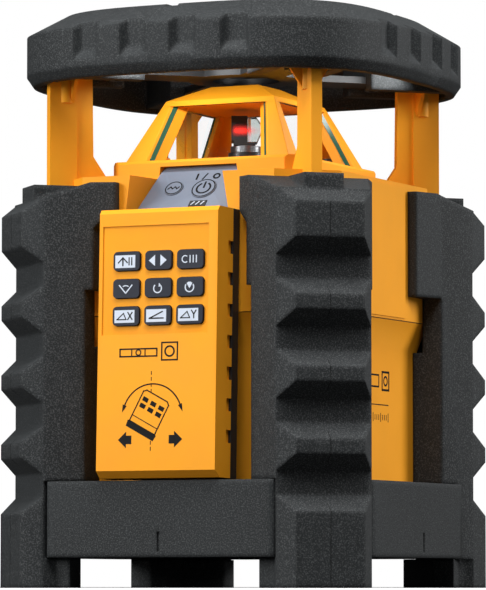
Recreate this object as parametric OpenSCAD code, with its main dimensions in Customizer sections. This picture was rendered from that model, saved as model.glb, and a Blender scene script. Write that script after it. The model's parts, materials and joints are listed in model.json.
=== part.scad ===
// Rotating laser level with a lift-off remote control.
// Origin: centre of the plane that the four feet stand on. +Z is up, -Y is the front
// with the control panel and the remote, and all sizes are in millimetres.

/* [Overall] */
// Half width over the side faces of the base ring
ring_half = 80.8; // [80.8:0.1:81.2]
// Height of the four feet below the base ring
foot_h = 12.3; // [11:0.1:13]
// Top of the base ring
ring_top = 43; // [41:0.5:43.4]
// Distance from the centre line to the outer facet of a corner bumper
corner_r = 102; // [101:0.5:103]
// Distance from the centre line to the bottom of a corner bumper's grooves
groove_r = 94; // [93:0.5:95]

/* [Corner bumpers] */
// Distance along the side from the centre to the end of the chamfer
chamfer_x = 52.1; // [52:0.1:53]
// Distance along the side from the centre to the edge of the outer facet
facet_x = 61.9; // [61:0.1:62.5]
// Distance from the centre plane to the outer facet's edge
facet_y = 82.4; // [82:0.1:83]
// Distance from the centre plane to the end of a lower wing
lower_wing_x = 37.6; // [37.4:0.1:37.9]
// Distance from the centre plane to the end of the front left upper wing
left_wing_x = 26.4; // [26.2:0.1:28]
// Distance from the centre plane to the end of the front right upper wing
right_wing_x = 30; // [29:0.1:30.5]
// Distance from the centre plane to the end of the upper wings on the sides
side_wing_y = 22.5; // [22.3:0.1:24]
// Height where the upper wings start
wing_z = 121; // [118:0.5:124]
// Height of the plateau at the top of a corner bumper
bumper_top = 165; // [164:0.5:166]
// Number of grooves in a corner bumper
groove_count = 4; // [2:1:4]
// Height of the middle of the lowest groove
groove_z = 41.5; // [41:0.1:42]
// Height from one groove to the next
groove_pitch = 28.65; // [28:0.05:28.8]
// Height of a groove at its bottom
groove_floor = 9.5; // [8:0.1:10]
// Height of a groove at its mouth
groove_mouth = 22.6; // [21:0.1:23]

/* [Top bumper] */
// Half width of the top bumper at the middle of a side
top_half = 82.4; // [82:0.1:83]
// Exponent of the top bumper's rounded square outline
top_power = 3.2; // [3:0.05:3.4]
// Height of the top bumper's flat top
top_z = 236.6; // [236:0.1:237]
// Height of the upper edge of its side
top_edge_z = 227.7; // [227:0.1:229]
// Height of the lower edge of its side
top_low_z = 211.4; // [211:0.1:212]
// Height of the open underside
top_rim_z = 207.4; // [207:0.1:208]
// Width of the slope on top
top_bevel = 14.5; // [13.5:0.5:15.5]
// Wall thickness of the top bumper
top_wall = 6; // [5.8:0.1:6.2]
// Pockets in each side of the top bumper
pocket_count = 4; // [2:1:4]
// Distance from one pocket to the next
pocket_pitch = 22.5; // [20:0.5:23]
// Depth of a pocket
pocket_depth = 3.4; // [2:0.1:3.6]

/* [Housing] */
// Half width of the lower housing
low_half = 59.5; // [59.4:0.1:59.6]
// Half width of the upper housing
up_half = 64; // [63.9:0.1:64.1]
// Height of the joint between the two housings
seam_z = 110.4; // [110:0.1:110.6]
// Height of the shoulder round the laser head
deck_z = 168; // [167.5:0.5:168.5]
// Height of the raised deck under the laser head
plinth_z = 176; // [175.8:0.1:176]
// Wall thickness of the housings
wall = 3; // [2.8:0.1:3]
// Underside of the base plate
base_z = 14.5; // [14.5:0.1:15]
// Lean of the control panel back from vertical, in degrees
panel_lean = 42; // [41:1:43]
// Outer end of a pillar's blade, measured from the centre line
pillar_r = 86.3; // [86:0.1:86.4]

/* [Laser head] */
// Half width of the head cage at its foot
cage_low = 37.5; // [37.2:0.1:37.8]
// Half width of the head cage at its shoulder
cage_high = 25; // [24.6:0.1:25.2]
// Height of the cage's shoulder
cage_top = 202.4; // [202:0.1:202.8]
// Height of the flat on top of the cage's cap
cap_z = 209.2; // [208.6:0.1:209.6]
// Half width of the flat on top of the cage's cap
cap_flat = 11; // [10:0.5:12]
// Width of a cage post's face at its foot
post_low = 9.6; // [9:0.1:10]
// Width of a cage post's face at its head
post_high = 3.4; // [3.2:0.1:3.8]
// Thickness of the window panes
pane_t = 1.5; // [1.2:0.1:1.6]
// Radius of the disc under the prism
disc_r = 7.4; // [7:0.1:8.5]
// Width of the prism across its side faces
prism_w = 10; // [9:0.5:10.5]
// Turn of the rotor at rest, in degrees
rotor_turn = 26; // [0:1:45]

/* [Control panel] */
// Distance from the centre plane to the middle of the power button
power_x = 4.7; // [4.5:0.1:5]
// Distance up the panel to the middle of the power button
power_s = 22.3; // [22:0.1:22.6]
// Distance from the centre plane to the middle of the manual button
manual_x = -9.2; // [-9.4:0.1:-9]
// Distance up the panel to the middle of the manual button
manual_s = 23.1; // [22.8:0.1:23.4]
// Distance up the panel to the middle of the tilt lamp
lamp_s = 13.6; // [13.4:0.1:13.8]

/* [Levelling and drive] */
// Height of the gimbal's pivots
pivot_z = 150; // [149.5:0.1:150.5]
// Distance from the rotor's axis to the drive motor's axis
drive_gap = 17; // [16.8:0.1:17.2]
// Radius of the rotor's pulley
rotor_pulley_r = 8; // [7.5:0.1:8]
// Radius of the motor's pulley
motor_pulley_r = 4; // [3.5:0.1:4]
// Height of the levelling screw that pushes along X
push_x_z = 88; // [87.5:0.5:88]
// Height of the levelling screw that pushes along Y
push_y_z = 96; // [96:0.5:96.5]

/* [Remote control] */
// Height of the remote
remote_h = 108.4; // [107.4:0.1:109]
// Half width of the remote's front face
remote_half = 26.6; // [26:0.1:26.8]
// Thickness of the remote
remote_t = 17; // [16.8:0.1:17]
// Lean of the remote back from vertical, in degrees
remote_lean = 1.7; // [1.6:0.1:1.8]
// Distance between key centres across the remote
key_pitch_x = 14.3; // [14:0.1:14.5]
// Distance between key centres up the remote
key_pitch_z = 11.1; // [10.5:0.1:11.3]
// Width of a key
key_w = 11.9; // [11:0.1:12]
// Height of a key
key_h = 7.7; // [7:0.1:8]
// Corner radius of a key
key_round = 1.7; // [1.2:0.1:2]
// Number of grip notches in each side of the remote
grip_count = 7; // [3:1:7]
// Distance from one grip notch to the next
grip_pitch = 12.65; // [12:0.05:12.8]

/* [Tripod mount and fasteners] */
// Bore radius of the 5/8 inch tripod thread
tripod_r = 6.75; // [6.75:0.01:6.8]
// Depth of the tripod thread
tripod_depth = 20; // [18:1:22]
// Shank radius of the case screws
screw_r = 1.5; // [1.4:0.1:1.5]

/* [Battery compartment] */
// Radius of a battery cell
cell_r = 16.6; // [16.3:0.1:16.6]
// Length of a battery cell
cell_len = 61.5; // [60:0.5:61.5]
// Half width of the battery door
door_half = 32.9; // [32:0.1:32.9]

/* [Hidden] */
$fn = 64;
gap = 0.2;              // gap between neighbouring fixed pieces
run = 0.05;             // radial clearance of a running fit
low_cut = 72;           // distance to the cut corners of the lower housing
up_cut = 76;            // distance to the cut corners of the upper housing
ring_cut = 84.7;        // distance to the ring's cut corners
gasket_t = 0.4;
wing_end = 68;          // outer edge of an upper wing's end
wing_step = [38, 73];   // outer edge of a wing where its slope changes
head_screw_r = 26.4 * sqrt(2);  // distance to the head screws
panel_low = [-24, 23.8];        // side edges of the panel at its foot
panel_high = [-18, 15.6];       // side edges of the panel at its top
panel_s = 36.3;         // length of the panel
window_top = 200.2;     // underside of the cage's cap
panel_sink = 1.6;       // depth of the panel's bed
button_r = [5.4, 4];    // radii of the power and the manual button
foot_end = 42.5;        // end of a foot below the base ring
foot_face = 75.8;       // face of a foot below the base ring
foot_in = 66.5;         // inner end of that face
boss_r = 4;
boss_at = 67;           // distance to the case screws, along the diagonal
ring_end = chamfer_x - 0.3;     // ends of the ring's faces beside the front bumpers
rear_end = 42.3;        // ends of the ring's faces beside the rear bumpers
panel_y = -up_half;     // lower edge of the sloping panel
panel_z = 146;
remote_x = 0.5;         // middle of the remote
remote_y = -84.6;       // lower front edge of the remote
remote_z = 44;
remote_front_t = 12;    // depth of the remote's front shell
key_z = 76.1;           // middle row of keys, up the remote
grip_low = 14;          // bottom of the lowest grip notch
key_x = 0.4;            // middle column of keys
hinge_y = 62.6;         // battery door's hinge line
hinge_z = 49.2;
latch_z = 100;
cell_y = 38.3;
cell_z = 44.2;

foam = [0.21, 0.21, 0.215];
yellow = [0.96, 0.64, 0.12];
black = [0.12, 0.12, 0.13];
steel = [0.72, 0.73, 0.75];
brass = [0.78, 0.62, 0.30];
silver = [0.66, 0.70, 0.74];
keys_blue = [0.16, 0.18, 0.23];
glass_green = [0.62, 0.80, 0.72, 0.5];
board_green = [0.10, 0.35, 0.20];

KEYS = ["shift", "scan", "standby", "line", "rotate", "speed", "slope_x", "tilt", "slope_y"];

// ---- shared outlines and placements ----

// A square of half width h whose corners are cut at distance r along the diagonals
function cut_square(h, r) = let (s = r * sqrt(2) - h)
    [[h, s], [s, h], [-s, h], [-h, s], [-h, -s], [-s, -h], [s, -h], [h, -s]];

// An outline given up to the diagonal, completed by its mirror image
function mirrored(p) = concat(p, [for (i = [len(p) - 1:-1:0]) [p[i][1], p[i][0]]]);

// A rounded square of half width h
function rounded_square(h, n, steps = 96) = [for (i = [0:steps - 1]) let (a = 360 * i / steps)
    h * [sign(cos(a)) * pow(abs(cos(a)), 2 / n), sign(sin(a)) * pow(abs(sin(a)), 2 / n)]];

module prism(low, high, points) {
    translate([0, 0, low]) linear_extrude(high - low) polygon(points);
}

module box(low, high) {
    translate(low) cube(high - low);
}

module tube(r, bore, low, high) {
    translate([0, 0, low]) difference() {
        cylinder(r = r, h = high - low);
        translate([0, 0, -1]) cylinder(r = bore, h = high - low + 2);
    }
}

// A profile of [distance along the diagonal, height], given a width across the diagonal
module diagonal_slab(width, points) {
    rotate([90, 0, 45]) translate([0, 0, -width / 2]) linear_extrude(width) polygon(points);
}

module on_diagonals() {
    for (a = [0:90:270]) rotate([0, 0, a]) children();
}

module in_corner(x, y) {
    mirror([x < 0 ? 1 : 0, 0, 0]) mirror([0, y < 0 ? 1 : 0, 0]) children();
}

module at_corner(r) {
    rotate([0, 0, 45]) translate([r, 0, 0]) children();
}

module in_panel() {
    translate([0, panel_y, panel_z]) rotate([-panel_lean, 0, 0]) children();
}

module in_remote() {
    translate([remote_x, remote_y, remote_z]) rotate([-remote_lean, 0, 0]) children();
}

// ---- bumpers ----

module bumper_groove(z) {
    deep = groove_r;
    out = corner_r + 1;
    flare = (groove_mouth - groove_floor) / 2 * (out - deep) / (corner_r - deep);
    diagonal_slab(80, [[deep, z - groove_floor / 2], [out, z - groove_floor / 2 - flare],
        [out + 10, z - groove_floor / 2 - flare], [out + 10, z + groove_floor / 2 + flare],
        [out, z + groove_floor / 2 + flare], [deep, z + groove_floor / 2]]);
}

// Where the ring's cut corner meets a line at distance e
function cut_at(e) = ring_cut * sqrt(2) - e;

// Outline of a corner bumper's outer faces, moved in by the given amount
function corner_faces(inset) = [[wing_step[0], wing_step[1] - inset],
    [chamfer_x, ring_half - inset], [facet_x - inset / 2, facet_y - inset],
    [facet_y - inset, facet_x - inset / 2], [ring_half - inset, chamfer_x],
    [wing_step[1] - inset, wing_step[0]]];

// A corner bumper's plan, whose wings end at end_x and end_y
function corner_plan(end_x, end_y, inset) = concat([[50, 50], [end_x, 50],
    [end_x, wing_end - inset]], corner_faces(inset), [[wing_end - inset, end_y], [50, end_y]]);

// ring_x is where the base ring ends beside this bumper
module corner_bumper(wing_x, ring_x) {
    foot_side = [[foot_end, foot_in], [foot_end, foot_face], [chamfer_x - 3, foot_face],
        [chamfer_x, ring_half], [facet_x, facet_y]];
    block_half = 8.3;
    shoulder_r = 95;
    color(foam) difference() {
        union() {
            prism(wing_z, bumper_top, corner_plan(wing_x, side_wing_y, 0));
            prism(foot_h - gap, wing_z, concat([[50, 50], [lower_wing_x, 50],
                [lower_wing_x, wing_step[1]]], corner_faces(0),
                [[wing_step[1], lower_wing_x], [50, lower_wing_x]]));
            prism(0, foot_h - gap, mirrored(foot_side));
        }
        prism(ring_top + gap, 200, cut_square(low_half + gap, low_cut + gap));
        prism(seam_z - 12, 200, cut_square(up_half + gap, up_cut + gap));
        prism(foot_h - gap, ring_top + gap, mirrored([[100, 0], [100, ring_x + gap],
            [cut_at(ring_x) + gap, ring_x + gap]]));
        prism(foot_h - gap, ring_top + gap, [[0, 0], [100, 0], [0, 100]]);
        for (i = [0:groove_count - 1]) bumper_groove(groove_z + i * groove_pitch);
        // relief beside the remote
        rotate([90, 0, 0]) translate([0, 0, -90]) linear_extrude(60)
            polygon([[20, wing_z - 1], [34.5, wing_z - 1], [34.5, 146], [28.8, 152.4],
                [20, 152.4]]);
        // bevel of the shoulder, then the slopes on both sides of its raised block
        diagonal_slab(80, [[shoulder_r, 158], [corner_r + 1, 152.3], [110, 152.3],
            [110, 180], [shoulder_r, 180]]);
        for (s = [-1, 1]) rotate([0, 0, 45]) translate([0, s * (block_half + 30), 0])
            rotate([0, 0, -45]) diagonal_slab(60, [[76, bumper_top], [corner_r + 1, 156],
                [110, 156], [110, 180], [76, 180]]);
        // slot for the pillar's root
        diagonal_slab(4.6 + 2 * gap, [[70, 150 - gap], [pillar_r + gap, 150 - gap],
            [pillar_r + gap, 180], [70, 180]]);
    }
}

module corner_bumper_front_left() { in_corner(-1, -1) corner_bumper(left_wing_x, ring_end); }
module corner_bumper_front_right() { in_corner(1, -1) corner_bumper(right_wing_x, ring_end); }
module corner_bumper_rear_left() { in_corner(-1, 1) corner_bumper(right_wing_x, rear_end); }
module corner_bumper_rear_right() { in_corner(1, 1) corner_bumper(right_wing_x, rear_end); }

// The base ring's outline round one corner, ending at distance e with a rounded edge
function ring_corner(e) = let (r = ring_half - cut_at(rear_end))
    mirrored(concat([for (a = [0:15:90]) [ring_half - r + r * cos(a), e - r + r * sin(a)]],
        [[cut_at(e), e]]));

module base_bumper() {
    corners = [[1, 1, rear_end], [-1, 1, rear_end], [-1, -1, ring_end], [1, -1, ring_end]];
    outline = [for (c = corners) let (p = ring_corner(c[2])) for (i = [0:len(p) - 1])
        let (q = p[c[0] * c[1] > 0 ? i : len(p) - 1 - i]) [c[0] * q[0], c[1] * q[1]]];
    color(foam) difference() {
        prism(foot_h, ring_top, outline);
        prism(0, 60, cut_square(low_half + gap, low_cut + gap));
        on_diagonals() box([ring_half - 0.8, -0.6, 14.5], [ring_half + 1, 0.6, 22.5]);
    }
}

module top_slab(low, low_inset, high, high_inset) {
    thin = 0.01;
    hull() {
        prism(low, low + thin, rounded_square(top_half - low_inset, top_power));
        prism(high - thin, high, rounded_square(top_half - high_inset, top_power));
    }
}

// Distance from the centre plane to the top bumper's side, at distance t along it
function side_at(t) = top_half * pow(1 - pow(abs(t) / top_half, top_power), 1 / top_power);

module top_pocket() {
    deep = -pocket_depth;
    intersection() {
        prism(210, 245, [[deep, -4.2], [1, -6.4], [1, 6.4], [deep, 4.2]]);
        rotate([90, 0, 0]) translate([0, 0, -10]) linear_extrude(20)
            polygon([[deep, 218.6], [0, 214.4], [2, 213], [2, 245], [deep, 245]]);
    }
}

module top_bumper() {
    ceiling = 221;
    arm = 10 + gap;
    color(foam) difference() {
        union() {
            difference() {
                union() {
                    top_slab(top_rim_z, 2.5, top_low_z, 0);
                    prism(top_low_z, top_edge_z, rounded_square(top_half, top_power));
                    top_slab(top_edge_z, 0, top_z, top_bevel);
                }
                prism(200, ceiling, rounded_square(top_half - top_wall, top_power));
            }
            on_diagonals() at_corner(0) box([50, -17, 209], [87, 17, ceiling + 1]);
        }
        on_diagonals() for (i = [0:pocket_count - 1]) {
            t = (i - (pocket_count - 1) / 2) * pocket_pitch;
            lean = (side_at(t + 1) - side_at(t - 1)) / 2;
            translate([side_at(t), t, 0]) rotate([0, 0, -atan(lean)]) top_pocket();
        }
        on_diagonals() at_corner(0) {
            box([-1, -arm, 205], [87.2, arm, 212.2]);
            box([-1, -arm, 212], [84.2, arm, 215.2]);
            translate([79, 0, 212]) cylinder(r = 2 * screw_r + gap, h = 6);
            translate([40 * sqrt(2), 0, 210]) cylinder(r = screw_r + run, h = 18);
        }
        on_diagonals() box([top_half - top_bevel - 6, -2.8, top_z - 1],
            [top_half - top_bevel + 4, 2.8, top_z + 1]);
    }
}

module top_carrier_plate() {
    color(black) difference() {
        union() {
            on_diagonals() at_corner(0) box([0, -10, 212.2], [84, 10, 215]);
            translate([0, 0, 212.2]) cylinder(r = 24, h = 2.8);
        }
        on_diagonals() at_corner(79) translate([0, 0, 200]) cylinder(r = 1.7, h = 20);
        on_diagonals() at_corner(40 * sqrt(2)) translate([0, 0, 200]) cylinder(r = 1.7, h = 20);
        translate([0, 0, 200]) cylinder(r = 14, h = 20);
    }
}

module screw(head_z, tip_z) {
    up = tip_z > head_z ? 1 : -1;
    translate([0, 0, min(head_z, tip_z)]) cylinder(r = screw_r, h = abs(tip_z - head_z));
    translate([0, 0, up > 0 ? head_z - 2 : head_z]) difference() {
        cylinder(r = 2 * screw_r, h = 2);
        translate([0, 0, up > 0 ? -0.1 : 1.1]) cylinder(r = screw_r, h = 1, $fn = 6);
    }
}

module top_screws() {
    color(steel) on_diagonals() {
        at_corner(79) screw(215, 203);
        at_corner(40 * sqrt(2)) screw(212.2, 225);
    }
}

// ---- housings ----

module housing_boss(low, high, reach) {
    on_diagonals() at_corner(boss_at) {
        translate([0, 0, low]) cylinder(r = boss_r, h = high - low);
        box([0, -2, low], [reach - boss_at, 2, high]);
    }
}

module lower_housing() {
    bulge_x = 37.3;
    door_x = door_half + 0.3;
    color(yellow) difference() {
        union() {
            difference() {
                union() {
                    prism(base_z + 4, seam_z - 11.4, cut_square(low_half, low_cut));
                    hull() {
                        prism(seam_z - 11.5, seam_z - 11.4, cut_square(low_half, low_cut));
                        prism(seam_z - 0.1, seam_z, cut_square(up_half - 0.2, up_cut - 0.2));
                    }
                    box([-bulge_x, 50, ring_top + gap], [bulge_x, up_half, seam_z]);
                }
                prism(0, 200, cut_square(low_half - wall, low_cut - wall));
                box([-bulge_x + wall, 50, ring_top + gap + wall],
                    [bulge_x - wall, up_half - wall, 200]);
            }
            housing_boss(88, seam_z, low_cut - 1);
        }
        box([-door_x, 60, 46.2], [door_x, 70, 106.1]);
        translate([0, hinge_y, hinge_z]) rotate([0, 90, 0]) translate([0, 0, -35.7])
            cylinder(r = 1.02, h = 71.4);
        on_diagonals() at_corner(boss_at) translate([0, 0, 80]) {
            cylinder(r = 1.7, h = 60);
            cylinder(r = 3.2, h = 14);
        }
    }
}

// The panel's outline up to distance end, widened by grow, between two heights off its face
module panel_block(end, grow, from, to) {
    slope = (panel_high - panel_low) / panel_s;
    foot = panel_low - slope * 5;
    head = panel_low + slope * end;
    in_panel() rotate([90, 0, 0]) translate([0, 0, from]) linear_extrude(to - from)
        polygon([[foot[0] - grow, -5], [foot[1] + grow, -5],
            [head[1] + grow, end], [head[0] - grow, end]]);
}

module pillar() {
    blade_r = 74.6;
    top = 212;
    diagonal_slab(3, [[62, 164], [61, 168.7], [67.3, 178], [67.8, top], [blade_r, top],
        [blade_r, 164]]);
    diagonal_slab(4.6, [[blade_r, 150], [blade_r, top], [pillar_r, top], [pillar_r, 150]]);
    // gusset across the blade, and the boss that takes the screw from above
    at_corner(76) rotate([90, 0, 90]) linear_extrude(1.5)
        polygon([[-2, 199.5], [2, 199.5], [9.4, 210.6], [9.4, top], [-9.4, top], [-9.4, 210.6]]);
    at_corner(79) translate([0, 0, 200]) cylinder(r = 3.4, h = top - 200);
}

module plinth() {
    half = 42.6;
    edge = 1.2;
    side = [[-half, deck_z - 1], [half, deck_z - 1], [half, plinth_z - edge],
        [half - edge, plinth_z], [edge - half, plinth_z], [-half, plinth_z - edge]];
    intersection() {
        prism(deck_z - 1, plinth_z, cut_square(half, 57));
        rotate([90, 0, 0]) translate([0, 0, -50]) linear_extrude(100) polygon(side);
        rotate([90, 0, 90]) translate([0, 0, -50]) linear_extrude(100) polygon(side);
    }
}

module upper_housing() {
    base = seam_z + gasket_t;
    color(yellow) difference() {
        union() {
            difference() {
                union() {
                    prism(base, deck_z, cut_square(up_half, up_cut));
                    plinth();
                    for (a = [0, 180]) rotate([0, 0, a])
                        box([up_half - 0.1, -21.8, base + 1], [up_half + 0.4, 19, deck_z - 1.5]);
                }
                intersection() {
                    panel_block(panel_s + 2.5, 0.3, -panel_sink, 60);
                    box([-50, -100, 100], [50, 0, panel_z + panel_s * cos(panel_lean) + gap]);
                }
                difference() {
                    prism(0, deck_z - wall, cut_square(up_half - wall, up_cut - wall));
                    in_panel() box([-28, -60, -60], [28, panel_sink + wall, 60]);
                    box([-28, -70, base], [28, -up_half + wall, 160]);
                }
                box([-24, -up_half + wall, base - 1], [24, -up_half + 12, 138]);
            }
            on_diagonals() pillar();
            housing_boss(base, 126, up_cut - 1);
        }
        translate([0, 0, 150]) cylinder(r = 15, h = 40);
        on_diagonals() {
            at_corner(boss_at) translate([0, 0, base - 1]) cylinder(r = screw_r + run, h = 14);
            at_corner(79) translate([0, 0, 201]) cylinder(r = screw_r + run, h = 20);
            at_corner(head_screw_r) translate([0, 0, 166]) cylinder(r = screw_r + run, h = 12);
        }
        // wells under the two panel buttons
        in_panel() for (b = [[power_x, power_s], [manual_x, manual_s]])
            translate([b[0], 5, b[1]]) rotate([90, 0, 0]) cylinder(r = 2, h = 8);
    }
}

module housing_gasket() {
    color(black) difference() {
        prism(seam_z, seam_z + gasket_t, cut_square(up_half - 0.2, up_cut - 0.2));
        prism(seam_z - 1, seam_z + 2, cut_square(up_half - wall + 0.4, up_cut - wall + 0.4));
        on_diagonals() at_corner(boss_at) translate([0, 0, seam_z - 1]) cylinder(r = 5, h = 3);
        box([-28.2, -70, seam_z - 1], [28.2, -up_half + wall + 0.4, seam_z + 2]);
    }
}

module case_screws() {
    color(steel) on_diagonals() at_corner(boss_at) screw(94, 121);
}

module base_plate() {
    color(black) difference() {
        prism(base_z, base_z + 3.8, cut_square(low_half, low_cut));
        translate([0, 0, base_z - 1]) cylinder(r = 11 + run, h = 6);
    }
}

module tripod_insert() {
    color(brass) difference() {
        union() {
            translate([0, 0, base_z]) cylinder(r = 11, h = 24);
            translate([0, 0, base_z + 3.8]) cylinder(r = 15, h = 3, $fn = 6);
        }
        translate([0, 0, base_z - 1]) cylinder(r = tripod_r, h = tripod_depth + 1);
    }
}

module control_panel() {
    color(silver) difference() {
        intersection() {
            panel_block(panel_s, 0, -panel_sink + 0.1, 0);
            in_panel() box([-50, -1, 0.5], [50, 5, panel_s]);
        }
        in_panel() {
            translate([power_x, 5, power_s]) rotate([90, 0, 0])
                cylinder(r = button_r[0] + run, h = 10);
            translate([manual_x, 5, manual_s]) rotate([90, 0, 0])
                cylinder(r = button_r[1] + run, h = 10);
            translate([power_x, 0, lamp_s]) box([-4, -1, -1.8], [4, 0.6, 1.8]);
        }
    }
}

module panel_button(x, s, r) {
    in_panel() translate([x, 0, s]) rotate([90, 0, 0]) {
        translate([0, 0, -1]) cylinder(r = r, h = 1.5);
        translate([0, 0, -4]) cylinder(r = 2 - run, h = 3.5);
    }
}

module power_button() { color(silver) panel_button(power_x, power_s, button_r[0]); }
module manual_button() { color(silver) panel_button(manual_x, manual_s, button_r[1]); }

module tilt_lamp() {
    color(black) in_panel() translate([power_x, 0, lamp_s])
        box([-3.9, -0.2, -1.7], [3.9, 0.5, 1.7]);
}

// ---- laser head ----

// Half width of the cage's outside at height z
function cage_at(z) = cage_low + (cage_high - cage_low) * (z - plinth_z) / (cage_top - plinth_z);

// A four-sided tapering block, its faces moved in by the given amount
module cage_block(inset, low, high) {
    a = cage_at(low) - inset;
    b = cage_at(high) - inset;
    intersection() {
        rotate([90, 0, 0]) translate([0, 0, -50]) linear_extrude(100)
            polygon([[-a, low], [a, low], [b, high], [-b, high]]);
        rotate([90, 0, 90]) translate([0, 0, -50]) linear_extrude(100)
            polygon([[-a, low], [a, low], [b, high], [-b, high]]);
    }
}

// Wedges round the four diagonals that the cage's posts are cut from, widened by edge
module post_wedges(edge) {
    a = post_low / sqrt(2) + edge;
    b = post_high / sqrt(2) + edge;
    for (r = [45, 135]) rotate([90, 0, r]) translate([0, 0, -60]) linear_extrude(120)
        polygon([[-a, plinth_z], [a, plinth_z], [b, cage_top], [-b, cage_top]]);
}

module cage_cap() {
    side = [[-cage_high, cage_top], [cage_high, cage_top], [cap_flat, cap_z],
        [-cap_flat, cap_z]];
    intersection() {
        rotate([90, 0, 0]) translate([0, 0, -50]) linear_extrude(100) polygon(side);
        rotate([90, 0, 90]) translate([0, 0, -50]) linear_extrude(100) polygon(side);
    }
}

module head_cage() {
    foot = plinth_z + 0.1;
    color(yellow) difference() {
        union() {
            cage_block(0, window_top, cage_top);
            cage_cap();
            intersection() {
                difference() {
                    cage_block(0, foot, window_top + 0.5);
                    cage_block(6, foot - 1, window_top + 0.6);
                }
                post_wedges(0);
            }
            on_diagonals() at_corner(head_screw_r) {
                translate([0, 0, foot]) cylinder(r = 3.8, h = 2.4);
                box([0, -3.8, foot], [8, 3.8, foot + 2.4]);
            }
        }
        on_diagonals() at_corner(head_screw_r) translate([0, 0, foot - 1])
            cylinder(r = 1.7, h = 8);
    }
}

module head_windows() {
    edge = 0.15;
    color(glass_green) difference() {
        cage_block(0.8, plinth_z + 0.3, window_top - 0.15);
        cage_block(0.8 + pane_t, plinth_z, window_top);
        post_wedges(edge);
    }
}

module head_screws() {
    color(steel) on_diagonals() at_corner(head_screw_r) screw(plinth_z + 2.6, 167);
}

module rotor_spindle() {
    color(steel) {
        tube(4, 2.5, 146.2, 178.2);
        tube(disc_r, 2.5, 178.1, 181.9);
        tube(6.4, 2.5, 181.8, 184.6);
    }
}

module rotor_pulley() {
    color(brass) tube(rotor_pulley_r, 4.02, 155, 159);
}

module prism_holder() {
    h = prism_w / 2 + 0.8;
    color(black) rotate([0, 0, rotor_turn]) difference() {
        union() {
            box([-6.1, -h, 184.65], [-2.6, h, 197.1]);
            box([-6.1, -h, 184.65], [4, h, 185.9]);
            for (y = [-h, h - 0.75]) box([-6.1, y, 184.65], [0.7, y + 0.75, 197.1]);
        }
        translate([0, 0, 180]) cylinder(r = 2.5, h = 6);
        translate([-8, 0, 191]) rotate([0, 90, 0]) cylinder(r = 2, h = 10);
        box([-8, -h - 1, 184], [-5.2, h + 1, 186.6]);
    }
}

module pentaprism() {
    h = prism_w / 2;
    color(glass_green) rotate([0, 0, rotor_turn]) translate([0, h, 0]) rotate([90, 0, 0])
        linear_extrude(prism_w) polygon([[-2.5, 186], [4.6, 186], [7.4, 192.4],
            [4.4, 196.6], [-2.5, 196.6]]);
}

// ---- levelling gimbal, laser and drive ----

module gimbal_frame() {
    color(steel) difference() {
        union() {
            tube(41, 35, pivot_z - 4, pivot_z + 4);
            on_diagonals() at_corner(38) translate([0, 0, pivot_z + 3])
                cylinder(r = 3, h = deck_z - wall - pivot_z - 3.05);
        }
        translate([-50, 0, pivot_z]) rotate([0, 90, 0]) cylinder(r = 2 + run, h = 100);
    }
}

module gimbal_ring() {
    color(brass) difference() {
        union() {
            tube(33, 27, pivot_z - 4, pivot_z + 4);
            for (s = [0, 180]) rotate([0, 0, s]) translate([30, 0, pivot_z]) rotate([0, 90, 0])
                cylinder(r = 2, h = 10.5);
        }
        translate([0, 50, pivot_z]) rotate([90, 0, 0]) cylinder(r = 2 + run, h = 100);
    }
}

module laser_cradle() {
    color(silver) difference() {
        union() {
            translate([0, 0, pivot_z - 4]) cylinder(r = 25, h = 8);
            for (s = [90, 270]) rotate([0, 0, s]) translate([20, 0, pivot_z]) rotate([0, 90, 0])
                cylinder(r = 2, h = 12.5);
        }
        translate([0, 0, pivot_z - 10]) cylinder(r = 6, h = 20);
        translate([-drive_gap, 0, pivot_z - 10]) cylinder(r = 6.1, h = 20);
    }
}

module rotor_bearings() {
    color(steel) {
        tube(5.98, 4.03, pivot_z - 3.5, pivot_z - 0.5);
        tube(5.98, 4.03, pivot_z + 0.5, pivot_z + 3.5);
    }
}

module laser_tube() {
    color(silver) {
        tube(10.5, 5, 143, pivot_z - 4.02);
        tube(7, 5, 84, 143.1);
    }
}

module laser_module() {
    color(brass) {
        translate([0, 0, 86]) cylinder(r = 4.95, h = 14);
        for (a = [0, 120, 240]) rotate([0, 0, a]) translate([1.5, 0, 80])
            cylinder(r = 0.3, h = 7, $fn = 16);
    }
}

module collimator_lens() {
    color(glass_green) intersection() {
        translate([0, 0, 134]) cylinder(r = 4.95, h = 4);
        translate([0, 0, 137 - 14]) sphere(r = 14);
    }
}

module drive_motor() {
    color(steel) translate([-drive_gap, 0, 0]) difference() {
        translate([0, 0, 122]) cylinder(r = 6, h = 31.8);
        translate([0, 0, 148]) cylinder(r = 1 + run, h = 10);
    }
}

module motor_pulley() {
    color(brass) translate([-drive_gap, 0, 0]) {
        translate([0, 0, 155]) cylinder(r = motor_pulley_r, h = 4);
        translate([0, 0, 148.5]) cylinder(r = 1, h = 11);
    }
}

module belt_outline(grow) {
    hull() {
        circle(r = rotor_pulley_r + grow);
        translate([-drive_gap, 0]) circle(r = motor_pulley_r + grow);
    }
}

module drive_belt() {
    color(black) translate([0, 0, 155.8]) linear_extrude(2.4) difference() {
        belt_outline(1);
        belt_outline(0.1);
    }
}

// Lead screw, nut and motor, pushing outwards along +X at height z
module lead_screw(z) {
    color(steel) translate([18, 0, z]) rotate([0, 90, 0]) cylinder(r = 2, h = 31.5);
}

module push_nut(z) {
    color(brass) difference() {
        union() {
            box([7.4, -13, z - 2], [10.5, 13, z + 2]);
            box([10.4, -4, z - 4], [30, 4, z + 4]);
        }
        translate([12, 0, z]) rotate([0, 90, 0]) cylinder(r = 2 + run, h = 30);
    }
}

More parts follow.
